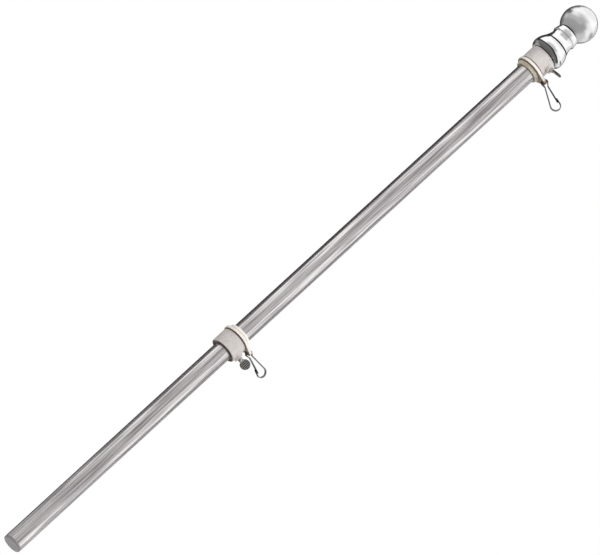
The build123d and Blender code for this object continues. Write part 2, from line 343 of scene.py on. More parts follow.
def soft_edge(distance, half_width, softness):
    """1 inside the half width, and fading to 0 over the softness."""
    return 1 - ease((abs(distance) - half_width) / softness)


def tent_brightness(azimuth, height):
    """The brightness of the topmost sheets of paper at one place of the tent."""
    brightness = WALL_PAPER
    for across, half_wide, soft_wide, level, half_high, soft_high, shade in SHEETS:
        aside = (azimuth - across + 180) % 360 - 180
        cover = soft_edge(aside, half_wide, soft_wide)
        cover *= soft_edge(height - level, half_high, soft_high)
        brightness += (shade - brightness) * cover
    return brightness


floor_count = round((TENT_RADIUS - TENT_GAP) / TENT_ROW)
wall_count = round(TENT_HEIGHT / TENT_ROW) + 1
floor_rows = [-TENT_RADIUS + TENT_GAP + TENT_ROW * i for i in range(floor_count)]
wall_rows = [TENT_ROW * i for i in range(wall_count)]
rings = [(TENT_RADIUS + row, TENT_LIFT) for row in floor_rows]
rings += [(TENT_RADIUS, row + TENT_LIFT) for row in wall_rows]
shades = []
for row in floor_rows + wall_rows:
    for column in range(TENT_COLUMNS):
        shades.append(tent_brightness(360 * column / TENT_COLUMNS, row))

tent_paper, tree = studio_paper("tent_paper")
shade_of = add_node(tree, "ShaderNodeAttribute", attribute_name="shade")
glow = add_node(tree, "ShaderNodeEmission", {"Color": WHITE, "Strength": shade_of.outputs["Fac"]})
add_node(tree, "ShaderNodeOutputMaterial", {"Surface": glow})

tent = stage_mesh("paper_tent", *ring_grid(rings, TENT_COLUMNS), tent_paper)
tent.data.attributes.new("shade", "FLOAT", "POINT").data.foreach_set("value", shades)
for ray_kind in ("camera", "diffuse", "transmission", "volume_scatter", "shadow"):
    setattr(tent, "visible_" + ray_kind, False)
print("tent of", len(tent.data.polygons), "faces")


# %% [markdown]
# ## Brushed stainless steel
# The tube is drawn, then brushed along its length by an abrasive belt. The grit leaves
# fine lengthwise lines, some brighter and some duller, which blur reflections sideways:
# the eye sees a soft grey body with one bright band and dark edges, streaked from end to
# end. Noise stretched along Z draws the lines. The real grit lines are a tenth of a
# millimetre wide, too fine to show, so a coarser set is drawn as well.

# %% Brushed stainless steel
def new_finish(name, metallic=1.0):
    """A fresh material, its tree and shader, and the place in the object's own frame."""
    material = bpy.data.materials.new(name)
    material.use_nodes = True
    tree = material.node_tree
    shader = tree.nodes["Principled BSDF"]
    shader.inputs["Metallic"].default_value = metallic
    return material, tree, shader, add_node(tree, "ShaderNodeTexCoord").outputs["Object"]


COARSE_LINE = 1.9 * MM  # width of the streaks that show from a distance
COARSE_RUN = 80 * MM  # and their length along the tube
GRIT_LINE = 0.35 * MM
GRIT_RUN = 40 * MM
GRIT_DEPTH = 0.05 * MM

brushed_steel, tree, shader, place = new_finish("brushed_stainless_steel")
streaks = []
for width, run, detail in ((COARSE_LINE, COARSE_RUN, 1.5), (GRIT_LINE, GRIT_RUN, 2.5)):
    stretched = add_node(tree, "ShaderNodeMapping", {
        "Vector": place, "Scale": (1 / width, 1 / width, 1 / run)})
    streak = add_node(tree, "ShaderNodeTexNoise", {
        "Vector": stretched, "Scale": 1.0, "Detail": detail})
    streaks.append(streak.outputs["Fac"])
both = add_node(tree, "ShaderNodeMath", {0: streaks[0], 1: streaks[1]}, operation="ADD")
tone = add_node(tree, "ShaderNodeMapRange", {"Value": both, "From Min": 0.83, "From Max": 1.17})
colour = add_node(tree, "ShaderNodeMix", {
    0: tone, 6: linear("#A9A2A4"), 7: linear("#FCF9F9")}, data_type="RGBA")
gloss = add_node(tree, "ShaderNodeMapRange", {
    "Value": both, "From Min": 0.7, "From Max": 1.3, "To Min": 0.32, "To Max": 0.2})
relief = add_node(tree, "ShaderNodeBump", {
    "Height": both, "Strength": 0.25, "Distance": GRIT_DEPTH})
dress(shader, colour, gloss, relief)
print("brushed steel streaks", COARSE_LINE / MM, "and", GRIT_LINE / MM, "mm wide")

# %% [markdown]
# ## Polished chrome plate
# The finial is polished and chromed. The turned neck is almost a mirror, and the buffed
# ball blurs what it reflects, so that its shading runs softly from dark to white. What
# gives it away as real metal is that its reflections are never perfectly even: buffing
# leaves long low waves, and handling leaves faint haze. Black painted shade is laid in the
# joints and creeps out of them in streaks, where an attribute of painted shade says so.

# %% Polished chrome plate
def chrome_plate(name, smoothest, haziest):
    """Chrome with buffing waves, patches of haze, and black painted shade where the attribute says."""
    material, tree, shader, place = new_finish(name)
    waves = add_node(tree, "ShaderNodeTexNoise", {
        "Vector": place, "Scale": 1 / BUFFING_WAVE, "Detail": 1.5})
    haze = add_node(tree, "ShaderNodeTexNoise", {
        "Vector": place, "Scale": 1 / HAZE_PATCH, "Detail": 5.0, "Roughness": 0.6})
    gloss = add_node(tree, "ShaderNodeMapRange", {
        "Value": haze, "From Min": 0.35, "From Max": 0.7, "To Min": smoothest, "To Max": haziest})
    colour = add_node(tree, "ShaderNodeMix", {
        0: haze, 6: linear("#F6F6F6"), 7: linear("#E6E6E6")}, data_type="RGBA")
    painted_shade = add_node(tree, "ShaderNodeAttribute", attribute_name="painted_shade")
    colour = add_node(tree, "ShaderNodeMix", {
        0: painted_shade.outputs["Fac"], 6: colour.outputs[2], 7: linear(SHADE_BLACK)}, data_type="RGBA")
    gloss = add_node(tree, "ShaderNodeMath", {
        0: painted_shade.outputs["Fac"], 1: SHADE_BLUR, 2: gloss}, operation="MULTIPLY_ADD")
    relief = add_node(tree, "ShaderNodeBump", {
        "Height": waves, "Strength": 0.3, "Distance": BUFFING_DEPTH})
    dress(shader, colour, gloss, relief)
    return material


BUFFING_WAVE = 7 * MM
BUFFING_DEPTH = 0.15 * MM
HAZE_PATCH = 11 * MM
# the black of the painted shade in the finial's joints and streaks
SHADE_BLACK = "#261F19"
SHADE_BLUR = 0.4  # how much rougher than the bare chrome it is
ball_chrome = chrome_plate("buffed_chrome_plate", 0.24, 0.34)
neck_chrome = chrome_plate("bright_chrome_plate", 0.05, 0.14)
print("chrome, waves", BUFFING_WAVE / MM, "mm long")


# %% [markdown]
# ## Moulded ivory nylon
# The rings are injection-moulded nylon in an off-white. The turning plate and the ring
# that keeps it on are painted a light cream as the lit nylon, and the barrel is painted
# greyer as its shade. Moulded nylon is satin, not glossy: the mould's fine spark texture
# breaks up the highlight, and the colour drifts over a few centimetres where the melt
# flowed. Brown painted shade lies on faces turned down, in the hairline joins between the
# mouldings and in the mouth of the bore. So each material takes a list of heights, and a
# radius that it is shaded inside. Round the hook's hole the lug has brown painted shade too.

# %% Moulded ivory nylon
def plastic(name, dull, clean, drift, grain, roughness, joins=(), mouth=0.0, shaded_round=None):
    """A moulded plastic: two tones that drift, a fine mould texture, and painted shade in its joins."""
    material, tree, shader, place = new_finish(name, metallic=0.0)
    flow = add_node(tree, "ShaderNodeTexNoise", {
        "Vector": place, "Scale": 1 / drift, "Detail": 3.0, "Distortion": 0.6})
    tone = add_node(tree, "ShaderNodeMapRange", {"Value": flow, "From Min": 0.35, "From Max": 0.65})
    colour = add_node(tree, "ShaderNodeMix", {
        0: tone, 6: linear(dull), 7: linear(clean)}, data_type="RGBA")
    spark = add_node(tree, "ShaderNodeTexNoise", {"Vector": place, "Scale": 1 / grain, "Detail": 2.0})
    height = add_node(tree, "ShaderNodeSeparateXYZ", {0: place}).outputs["Z"]
    flat = add_node(tree, "ShaderNodeVectorMath", {0: place, 1: (1, 1, 0)}, operation="MULTIPLY")
    radius = add_node(tree, "ShaderNodeVectorMath", {0: flat}, operation="LENGTH")
    inner = add_node(tree, "ShaderNodeMath", {
        0: radius.outputs["Value"], 1: mouth}, operation="LESS_THAN")
    # each mask paints brown shade: in the mouth of the bore, round the lug's hole and along the joins
    masks = [(inner, MOUTH_COVER)]
    if shaded_round is not None:
        # brown painted shade round the hook's hole, where the hook and the lug shade it
        away = add_node(tree, "ShaderNodeVectorMath", {0: place, 1: shaded_round}, operation="DISTANCE")
        near_hole = add_node(tree, "ShaderNodeMapRange", {
            "Value": away.outputs["Value"], "From Min": LUG_SHADE_REACH, "From Max": LUG_SHADE_REACH / 2},
            interpolation_type="SMOOTHSTEP")
        masks.append((near_hole, LUG_SHADE_COVER))
    for level, reach, amount in joins:
        near = add_node(tree, "ShaderNodeMath", {0: height, 1: level, 2: reach}, operation="COMPARE")
        masks.append((near, amount))
    for mask, amount in masks:
        patchy = add_node(tree, "ShaderNodeMapRange", {
            "Value": flow, "From Min": 0.3, "From Max": 0.55,
            "To Min": THIN_SHADE * amount, "To Max": amount})
        cover = add_node(tree, "ShaderNodeMath", {0: mask, 1: patchy}, operation="MULTIPLY")
        colour = add_node(tree, "ShaderNodeMix", {
            0: cover, 6: colour.outputs[2], 7: linear(SHADE_BROWN)}, data_type="RGBA")
    gloss = add_node(tree, "ShaderNodeMapRange", {
        "Value": spark, "To Min": roughness - SPARK_GLOSS, "To Max": roughness + SPARK_GLOSS})
    relief = add_node(tree, "ShaderNodeBump", {
        "Height": spark, "Strength": 0.15, "Distance": SPARK_DEPTH})
    dress(shader, colour, gloss, relief)
    return material


# %% The nylon of the rings
SPARK_GRAIN = 0.5 * MM
SPARK_DEPTH = 0.01 * MM
SPARK_GLOSS = 0.08  # how far the mould's texture changes the roughness, up or down
SHADE_BROWN = "#66503F"
# how far each kind of painted shade reaches, and how much of the plastic it covers
LUG_SHADE_REACH = 6.5 * MM  # on the lug, from the hook's hole
LUG_SHADE_COVER = 0.95
BARREL_SHADE, BARREL_COVER = 1.9 * MM, 0.8  # along the barrel, from the plate's face
RETAINER_SHADE, RETAINER_COVER = 1.0 * MM, 0.85  # and along the retainer
FACE_SHADE, FACE_COVER = 0.25 * MM, 0.85  # a layer that covers one flat face
# painted shade inside this radius, in the mouth of the bore
MOUTH_RADIUS = 16.9 * MM
MOUTH_COVER = 0.6
THIN_SHADE = 0.7  # painted shade comes and goes down to this share of its cover
# dull and clean; the turned-over upper retainer is painted darker, as shade under the plate
RETAINER_TONES = {"lower": ("#EAE3DB", "#F4EEE8"), "upper": ("#B3AC96", "#CDC6B3")}
nylon = {}
for ring in ("lower", "upper"):
    plate_low, plate_high = (corner.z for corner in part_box(f"{ring}_ring_spinner"))
    retainer_ends = [corner.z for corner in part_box(f"{ring}_ring_retainer")]
    retainer_face = min(retainer_ends, key=lambda z: abs(z - plate_low))
    # the barrel is painted greyer as shade and the plate lighter as light: two copies of one nylon
    nylon[ring, "barrel"] = plastic(
        f"{ring}_shaded_nylon", "#C8C2BF", "#D3CECB", 12 * MM, SPARK_GRAIN, 0.42,
        [(z, BARREL_SHADE, BARREL_COVER) for z in (plate_low, plate_high)], MOUTH_RADIUS)
    nylon[ring, "spinner"] = plastic(
        f"{ring}_lit_nylon", "#EFE8E1", "#F6F1EB", 9 * MM, SPARK_GRAIN, 0.38,
        [(plate_low, FACE_SHADE, FACE_COVER)], shaded_round=joints[f"{ring}_hook_swing"]["pos_m"])
    nylon[ring, "retainer"] = plastic(
        f"{ring}_retainer_nylon", *RETAINER_TONES[ring], 9 * MM, SPARK_GRAIN, 0.42,
        [(retainer_face, RETAINER_SHADE, RETAINER_COVER)])
print("nylon finishes", [material.name for material in nylon.values()])

# %% [markdown]
# ## Grey moulded vinyl
# The plug that closes the butt is soft vinyl in a grey a little darker than the steel's,
# scuffed dull by the ground.

# %% Grey moulded vinyl
grey_vinyl = plastic("moulded_grey_vinyl", "#827F81", "#908D8F", 6 * MM, 0.4 * MM, 0.5)
print("grey vinyl ready")


# %% [markdown]
# ## Zinc-plated and spring steel
# The thumb screws are forged steel with a dull zinc plate, painted darker as shade on the
# spade's faces between the grip ridges. The hooks are rolled spring strip, bright on its
# faces, with shade painted dark where the gate snaps behind the nose and round the eye.
# Both pieces carry an attribute of painted shade from 0 to 1, made with their shape,
# which says where the dark is painted.

# %% Zinc plate and spring strip
def speckled_shaded_metal(name, clean, dark, speckle, smooth, rough):
    """A metal with a fine speckle whose colour and gloss go over to a dark one with painted shade."""
    material, tree, shader, place = new_finish(name)
    spots = add_node(tree, "ShaderNodeTexNoise", {"Vector": place, "Scale": 1 / speckle, "Detail": 4.0})
    painted_shade = add_node(tree, "ShaderNodeAttribute", attribute_name="painted_shade")
    # the noise is about a half on average, so it adds as much darkening as it takes away
    broken = add_node(tree, "ShaderNodeMath", {
        0: spots, 1: SPOTTING, 2: -SPOTTING / 2}, operation="MULTIPLY_ADD")
    amount = add_node(tree, "ShaderNodeMath", {
        0: painted_shade.outputs["Fac"], 1: broken}, operation="ADD", use_clamp=True)
    colour = add_node(tree, "ShaderNodeMix", {
        0: amount, 6: linear(clean), 7: linear(dark)}, data_type="RGBA")
    gloss = add_node(tree, "ShaderNodeMapRange", {
        "Value": amount, "To Min": smooth, "To Max": rough})
    relief = add_node(tree, "ShaderNodeBump", {
        "Height": spots, "Strength": 0.25, "Distance": SPOT_DEPTH})
    dress(shader, colour, gloss, relief)
    return material


SPOTTING = 0.5  # how much the speckle varies the darkening
SPOT_DEPTH = 0.03 * MM
zinc_plate = speckled_shaded_metal("dull_zinc_plate", "#CFCBC8", "#2B2522", 1.2 * MM, 0.28, 0.5)
spring_steel = speckled_shaded_metal("rolled_spring_steel", "#9A9797", "#1E1C1B", 0.8 * MM, 0.26, 0.55)
print("zinc plate and spring steel ready")


# %% [markdown]
# ## The tube and its plug
# Both shapes are right as the CAD model has them, a thin-walled tube and a flanged plug
# with a rounded rim, so their own nodes stay and only take their finish.

# %% Finish the tube, the plug and the plastic of the rings
def refinish(node, material):
    """Gives a CAD node its new finish and leaves its shape alone."""
    for material_slot in frame["nodes"][node].material_slots:
        material_slot.material = material


refinish("pole_tube", brushed_steel)
refinish("butt_plug", grey_vinyl)
for ring in ("lower", "upper"):
    for part in ("barrel", "spinner", "retainer"):
        refinish(f"{ring}_ring_{part}", nylon[ring, part])


# %% [markdown]
# ## Turned shapes
# The ball and the neck of the finial are shapes of revolution. The CAD mesh of them is
# made of flat facets, which a mirror finish would show, so both are turned again here:
# their outline is spun into many fine steps, exactly as on a lathe. An arc in the outline
# is given by its two ends and its radius, and is divided evenly.

# %% A lathe: spin an outline about the pole
def arc(start, end, radius, steps):
    """Points after start along an arc to end; a positive radius bulges away from the axis."""
    start, end = Vector(start), Vector(end)
    chord = end - start
    outward = Vector((chord.y, -chord.x)).normalized()
    depth = math.sqrt(radius**2 - (chord.length / 2) ** 2)
    centre = (start + end) / 2 - outward * math.copysign(depth, radius)
    first = start - centre
    sweep = math.atan2(first.cross(end - centre), first.dot(end - centre))
    return [tuple(centre + Matrix.Rotation(sweep * i / steps, 2) @ first) for i in range(1, steps + 1)]


def mesh_from(work, name):
    """The mesh of a finished bmesh, with its faces turned outwards."""
    bmesh.ops.recalc_face_normals(work, faces=work.faces)
    mesh = bpy.data.meshes.new(name)
    work.to_mesh(mesh)
    work.free()
    return mesh


def join_rings(work, rings):
    """Faces between neighbouring rings of points, where one point may be a whole ring."""
    for one, two in zip(rings, rings[1:]):
        for step in range(len(one)):
            after = (step + 1) % len(one)
            corners = dict.fromkeys((one[step], one[after], two[after], two[step]))
            if len(corners) > 2:
                work.faces.new(tuple(corners))


def lathe(name, outline, steps, closed=False):
    """Spins (radius, height) points about Z; points on the axis close the ends."""
    work = bmesh.new()
    turns = [math.tau * step / steps for step in range(steps)]
    rings = []
    for radius, z in outline:
        if radius > 0:
            rings.append([work.verts.new((radius * math.cos(t), radius * math.sin(t), z)) for t in turns])
        else:
            rings.append([work.verts.new((0, 0, z))] * steps)
    join_rings(work, rings + rings[:1] if closed else rings)
    return new_object(name, mesh_from(work, name))


print("middle of a quarter circle", arc((1, 0), (0, 1), 1, 2)[0])


# %% [markdown]
# ## The ball
# A hollow chromed ball, cut flat underneath where it sits on the neck. Only its outside
# shows, so the outline starts on the flat and runs up the outer surface to the top.
# Black painted shade creeps out of the joint with the neck's collar, further on two
# opposite sides, and is kept on each vertex.

# %% Finish a piece, and paint shade on it
def finish_piece(piece, body, node, material, sharp=35):
    """Smooth shading with crisp corners, the finish, and the CAD node the piece stands for."""
    if material is not None:
        piece.data.materials.clear()
        piece.data.materials.append(material)
    piece.data.shade_smooth()
    piece.data.set_sharp_from_angle(angle=math.radians(sharp))
    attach(piece, body)
    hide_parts(node)
    print(piece.name, "has", len(piece.data.polygons), "faces")


def paint_shade(piece, how_black):
    """Keeps what how_black says of each vertex's radius, height and azimuth as its painted shade."""
    painted_shade = piece.data.attributes.new("painted_shade", "FLOAT", "POINT")
    for vertex, mark in zip(piece.data.vertices, painted_shade.data):
        x, y, height = vertex.co
        mark.value = how_black(math.hypot(x, y), height, math.degrees(math.atan2(y, x)))


def along_streak(azimuth, start, length):
    """How far along one of two opposite streaks an azimuth is; past 1 it is off the end."""
    return (azimuth - start) % 180 / length


def ramp(distance, width):
    """0 to 1 across a soft edge of this width, and a half where the distance is 0."""
    return clamp(distance / width + 0.5)


# %% Turn the ball
ball_low, ball_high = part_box("finial_ball")
ball_radius = ball_high.x
ball_centre = ball_high.z - ball_radius
flat_angle = math.acos((ball_centre - ball_low.z) / ball_radius)
BALL_STEPS = 96  # from the flat up to the top
surface = []
for step in range(BALL_STEPS):
    angle = flat_angle + (math.pi - flat_angle) * step / BALL_STEPS
    surface.append((ball_radius * math.sin(angle), ball_centre - ball_radius * math.cos(angle)))
outline = [(0.0, ball_low.z)] + surface + [(0.0, ball_high.z)]
ball = lathe("chromed_ball", outline, steps=2 * BALL_STEPS)
COLLAR_RIM = 3.4 * MM  # how far the neck's collar reaches up over the ball's seat
JOINT_SHADE_REACH = 1.7 * MM  # how far black painted shade creeps out of that joint at most
JOINT_STREAK = (-170, 110)  # its first azimuth, and its degrees
JOINT_BLACK, JOINT_EDGE = 0.95, 0.6 * MM


def joint_shade(radius, height, azimuth):
    """Black painted shade up to the collar's rim, and further along the streaks."""
    way = min(along_streak(azimuth, *JOINT_STREAK), 1.0)
    reach = JOINT_SHADE_REACH * math.sin(math.pi * way) ** 0.5
    return JOINT_BLACK * ramp(ball_low.z + COLLAR_RIM + reach - height, JOINT_EDGE)


paint_shade(ball, joint_shade)
finish_piece(ball, "pole", "finial_ball", ball_chrome)

# %% [markdown]
# ## The neck
# One casting, bored out to take the tube's end: a rounded bead, a narrow turned groove, a
# hollow flank down to the waist, and a dished collar, tapered a little, that the ball
# sits in. The radii are from the pole's axis, and the heights are over the neck's base
# and the ball's seat. The stud inside the ball doesn't show and is left out. The groove
# is painted black as shade, and the bead's underside has painted shade and painted
# reflection in slanting streaks, darkest along their upper edge.

# %% Turn the neck
def bead_curve(inwards, along):
    """Radius of an arc that starts parallel to the pole and has curved in by its end."""
    return (inwards**2 + along**2) / (2 * inwards)


BEAD_HEIGHT = 6.5 * MM  # the bead's widest line
BASE_RADIUS = 19.2 * MM
SHOULDER = (19.1 * MM, 19.0 * MM)  # radius and height where the bead ends
GROOVE_FLOOR = (17.8 * MM, 19.6 * MM)
GROOVE_WIDTH = 0.6 * MM
GROOVE_TOP = (18.2 * MM, 20.8 * MM)
WAIST = (15.4 * MM, 29.5 * MM)
FLANK_RADIUS = -40.0 * MM  # hollow, so it is negative
COLLAR_FOOT = 16.9 * MM  # the collar's radius at its lower edge
COLLAR_TOP = 15.3 * MM  # and at its rim
COLLAR_START = -4.7 * MM  # under the ball's seat
CORNER = 0.6 * MM
EDGE = 0.3 * MM
TUBE_PLAY = 0.1 * MM
NEARLY = 0.05 * MM  # what two equal sizes may differ by
NECK_STEPS = 320

neck_low, neck_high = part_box("finial_neck")
tube_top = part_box("pole_tube")[1]
bead_radius = neck_high.x
base = neck_low.z
seat = ball_low.z
bead_under = bead_curve(bead_radius - BASE_RADIUS, BEAD_HEIGHT)
bead_over = bead_curve(bead_radius - SHOULDER[0], SHOULDER[1] - BEAD_HEIGHT)
socket = tube_top.x + TUBE_PLAY
flat_radius = ball_radius * math.sin(flat_angle)

outside = [(BASE_RADIUS, base)]
outside += arc(outside[-1], (bead_radius, base + BEAD_HEIGHT), bead_under, 24)
outside += arc(outside[-1], (SHOULDER[0], base + SHOULDER[1]), bead_over, 16)
outside += [(GROOVE_FLOOR[0], base + GROOVE_FLOOR[1] + up) for up in (0, GROOVE_WIDTH)]
outside += [(GROOVE_TOP[0], base + GROOVE_TOP[1])]
outside += arc(outside[-1], (WAIST[0], base + WAIST[1]), FLANK_RADIUS, 12)
outside += [(WAIST[0], seat + COLLAR_START - EDGE), (COLLAR_FOOT - EDGE, seat + COLLAR_START)]
outside += arc(outside[-1], (COLLAR_FOOT, seat + COLLAR_START + EDGE), EDGE, 4)
outside += [(COLLAR_TOP, seat + COLLAR_RIM - EDGE)]
outside += arc(outside[-1], (COLLAR_TOP - EDGE, seat + COLLAR_RIM), EDGE, 4)
inside = [(flat_radius + CORNER, seat), (0.0, seat)]
inside += [(0.0, tube_top.z), (socket, tube_top.z), (socket, base)]
neck = lathe("turned_neck", outside + inside, steps=NECK_STEPS, closed=True)
print("bead curves", round(bead_under / MM, 1), "and", round(bead_over / MM, 1), "mm")

# %% Paint shade on the neck
# under the bead, heights are shares of its height and places are shares of a streak's length
BEAD_STREAK = (-172, 132)  # its first azimuth, and its degrees
STREAK_BLACK, BAND_BLACK = 0.62, 0.35  # the streak, and what the band along its top adds
UPPER_FALL, FALL_START = 0.65, 0.55  # how far its upper edge comes down, and from where
LOWER_RISE, RISE_END = 0.9, 0.3  # how high its lower edge starts, and where it is down
UNDER_FOOT = 0.1  # how far below the neck's foot that is
STREAK_EDGE, STREAK_TIP = 0.16, 0.06
BAND_HEIGHT, BAND_EDGE = 0.22, 0.2


def neck_shade(radius, height, azimuth):
    """Black painted shade in the groove, and painted shade and reflection in two slanting streaks across
    the bead's underside.
    """
    level = height - base
    if SHOULDER[1] - NEARLY < level < GROOVE_TOP[1] + NEARLY:
        return 1.0
    way, share = along_streak(azimuth, *BEAD_STREAK), level / BEAD_HEIGHT
    if way > 1 or radius < socket + NEARLY or share > 1 + STREAK_EDGE:
        return 0.0
    upper = 1.0 - UPPER_FALL * max(way - FALL_START, 0.0) / (1 - FALL_START)
    lower = LOWER_RISE * max(RISE_END - way, 0.0) / RISE_END - UNDER_FOOT
    cover = ramp(share - lower, STREAK_EDGE) * ramp(upper - share, STREAK_EDGE)
    cover *= min(way, 1 - way) / STREAK_TIP
    band = ramp(share - upper + BAND_HEIGHT, BAND_EDGE)
    return min(cover, 1.0) * (STREAK_BLACK + BAND_BLACK * band)


paint_shade(neck, neck_shade)
finish_piece(neck, "pole", "finial_neck", neck_chrome, sharp=28)


# %% [markdown]
# ## Geometry Nodes, run once
# Geometry Nodes suit what follows a path or repeats. A tree is built here in code with
# named inputs, run on a starting mesh, and its result is kept as a plain mesh, because
# an exported model can't carry the tree. These helpers start a tree, end it and run it.

# %% Start a tree, end it, and run it
def new_tree(name, inputs):
    """A tree that takes a geometry and the named inputs; returns it with its two ends."""
    tree = bpy.data.node_groups.new(name, "GeometryNodeTree")
    tree.interface.new_socket("Geometry", in_out="OUTPUT", socket_type="NodeSocketGeometry")
    for socket_name, kind in (("Geometry", "Geometry"), *inputs):
        tree.interface.new_socket(socket_name, in_out="INPUT", socket_type="NodeSocket" + kind)
    return tree, add_node(tree, "NodeGroupInput").outputs, add_node(tree, "NodeGroupOutput")


def end_tree(tree, shape, finish, result):
    """Ends a tree with real geometry, not instances, in its finish, and returns the tree."""
    plain = add_node(tree, "GeometryNodeRealizeInstances", {"Geometry": shape})
    painted = add_node(tree, "GeometryNodeSetMaterial", {"Geometry": plain, "Material": finish})
    tree.links.new(painted.outputs[0], result.inputs["Geometry"])
    print(tree.name, "has", len(tree.nodes), "nodes")
    return tree


def run_tree(name, start_mesh, tree, values):
    """Runs the tree on a mesh and returns an object with the result as its own plain mesh."""
    piece = new_object(name, start_mesh)
    modifier = piece.modifiers.new("tree", "NODES")
    modifier.node_group = tree
    for item in tree.interface.items_tree:
        if item.in_out == "INPUT" and item.name in values:
            modifier[item.identifier] = values[item.name]
    graph = bpy.context.evaluated_depsgraph_get()
    result = bpy.data.meshes.new_from_object(
        piece.evaluated_get(graph), preserve_all_data_layers=True, depsgraph=graph)
    piece.modifiers.clear()
    piece.data = result
    return piece


# %% [markdown]
# ## The snap hooks
# Each hook is one flat spring strip bent into a loop: an eye round the lug, a pinched
# neck, and a pear-shaped bow. One end is the springy gate and the other the nose that it
# snaps behind. A tree sweeps a small rounded rectangle along the loop's centre line, with
# the strip's width kept square to the loop. Shade is painted dark at the two ends, where
# the gate and the nose overlap, so the tree also writes that painted shade, from the
# distance to the nearer end.

# %% A tree that sweeps a strip along a line
tree, given, result = new_tree("bent_strip", (
    ("Strip Thickness", "Float"), ("Strip Width", "Float"), ("Edge Round", "Float"),
    ("Shade Reach", "Float"), ("Finish", "Material")))
line = add_node(tree, "GeometryNodeMeshToCurve", {"Mesh": given["Geometry"]})
level = add_node(tree, "GeometryNodeSetCurveNormal", {"Curve": line}, mode="Z_UP")
along = add_node(tree, "GeometryNodeSplineParameter").outputs["Length"]
total = add_node(tree, "GeometryNodeSplineLength").outputs["Length"]
left_over = add_node(tree, "ShaderNodeMath", {0: total, 1: along}, operation="SUBTRACT")
nearer = add_node(tree, "ShaderNodeMath", {0: along, 1: left_over}, operation="MINIMUM")
# painted shade, dark at both ends of the strip where the gate and the nose overlap
painted_shade = add_node(tree, "ShaderNodeMapRange", {
    "Value": nearer, "From Max": given["Shade Reach"], "To Min": 1.0, "To Max": 0.0},
    interpolation_type="SMOOTHSTEP")
marked = add_node(tree, "GeometryNodeStoreNamedAttribute", {
    "Geometry": level, "Name": "painted_shade", "Value": painted_shade}, data_type="FLOAT")
section = add_node(tree, "GeometryNodeCurvePrimitiveQuadrilateral", {
    "Width": given["Strip Thickness"], "Height": given["Strip Width"]})
section = add_node(tree, "GeometryNodeFilletCurve", {
    "Curve": section, "Radius": given["Edge Round"], "Count": 3}, mode="POLY")
swept = add_node(tree, "GeometryNodeCurveToMesh", {
    "Curve": marked, "Profile Curve": section, "Fill Caps": True})
strip_tree = end_tree(tree, swept, given["Finish"], result)


# %% The loop's centre line, drawn flat with the gate on the +Y side
STRIP_THICKNESS = 1.2 * MM
STRIP_WIDTH = 3.2 * MM
STRIP_EDGE = 0.3 * MM  # how far its rolled edges are rounded
END_SHADE_REACH = 7.5 * MM  # from each end
EYE_SHADE = 0.75  # the eye is painted dark as shade, where it sits in the lug
EYE_RADIUS = 4.0 * MM
NECK = (5.8 * MM, 2.0 * MM)  # from the eye's centre, and from the loop's middle line
BOW_CENTRE = 33.0 * MM
BOW_RADIUS = 6.3 * MM
NOSE_TIP = 24.6 * MM
GATE_OVERLAP = 4.8 * MM
LATCH_GAP = 0.15 * MM
LOOP_STEPS = 28  # divisions of the eye and of the bow


def tangent_angle(centre_x, radius, turn):
    """Where a straight line from the pinched neck touches a circle on the middle line."""
    across, up = NECK[0] - centre_x, NECK[1]
    return math.atan2(up, across) + turn * math.acos(radius / math.hypot(across, up))


def bend(centre_x, radius, start, end):
    """Points of a bend about a centre on the middle line."""
    angles = [start + (end - start) * i / LOOP_STEPS for i in range(LOOP_STEPS + 1)]
    return [(centre_x + radius * math.cos(a), radius * math.sin(a)) for a in angles]


eye_angle = tangent_angle(0.0, EYE_RADIUS, 1)
bow_angle = tangent_angle(BOW_CENTRE, BOW_RADIUS, -1)
bow_end = Vector((BOW_CENTRE + BOW_RADIUS * math.cos(bow_angle), BOW_RADIUS * math.sin(bow_angle)))
leg = (bow_end - Vector(NECK)).normalized()
inwards = Vector((leg.y, -leg.x)) * (STRIP_THICKNESS + LATCH_GAP)
nose = Vector(NECK) + leg * (NOSE_TIP - NECK[0]) / leg.x
gate = nose + leg * GATE_OVERLAP + inwards
loop = [tuple(gate), NECK]
loop += bend(0.0, EYE_RADIUS, eye_angle, math.tau - eye_angle)
loop += [(NECK[0], -NECK[1])]
loop += bend(BOW_CENTRE, BOW_RADIUS, -bow_angle, bow_angle)
loop += [tuple(nose)]
print("loop of", len(loop), "points, and an eye of", round(360 - 2 * math.degrees(eye_angle)), "degrees")

# %% Bend both hooks
# the upper ring is turned over, so its gate is on the other side
for ring, gate_side in (("lower", -1), ("upper", 1)):
    swing = joints[f"{ring}_hook_swing"]
    facing = math.atan2(-swing["axis"][0], swing["axis"][1])
    lean = -math.radians(sum(swing["range_deg"]) / 2)  # the swing is even about straight out
    start_line = bpy.data.meshes.new(f"{ring}_loop_line")
    steps = [(i, i + 1) for i in range(len(loop) - 1)]
    start_line.from_pydata([(x, y, 0) for x, y in loop], steps, [])
    hook = run_tree(f"{ring}_spring_hook", start_line, strip_tree, {
        "Strip Thickness": STRIP_THICKNESS, "Strip Width": STRIP_WIDTH,
        "Edge Round": STRIP_EDGE, "Shade Reach": END_SHADE_REACH, "Finish": spring_steel})
    # the eye is painted dark as shade where it sits in the lug
    for vertex, mark in zip(hook.data.vertices, hook.data.attributes["painted_shade"].data):
        if vertex.co.x < EYE_RADIUS:
            mark.value = EYE_SHADE
    hook.data.transform(
        Matrix.Translation(swing["pos_m"]) @ Matrix.Rotation(facing, 4, "Z")
        @ Matrix.Rotation(lean, 4, "Y") @ Matrix.Rotation(gate_side * math.pi / 2, 4, "X"))
    finish_piece(hook, f"{ring}_hook", f"{ring}_snap_hook", None, sharp=50)


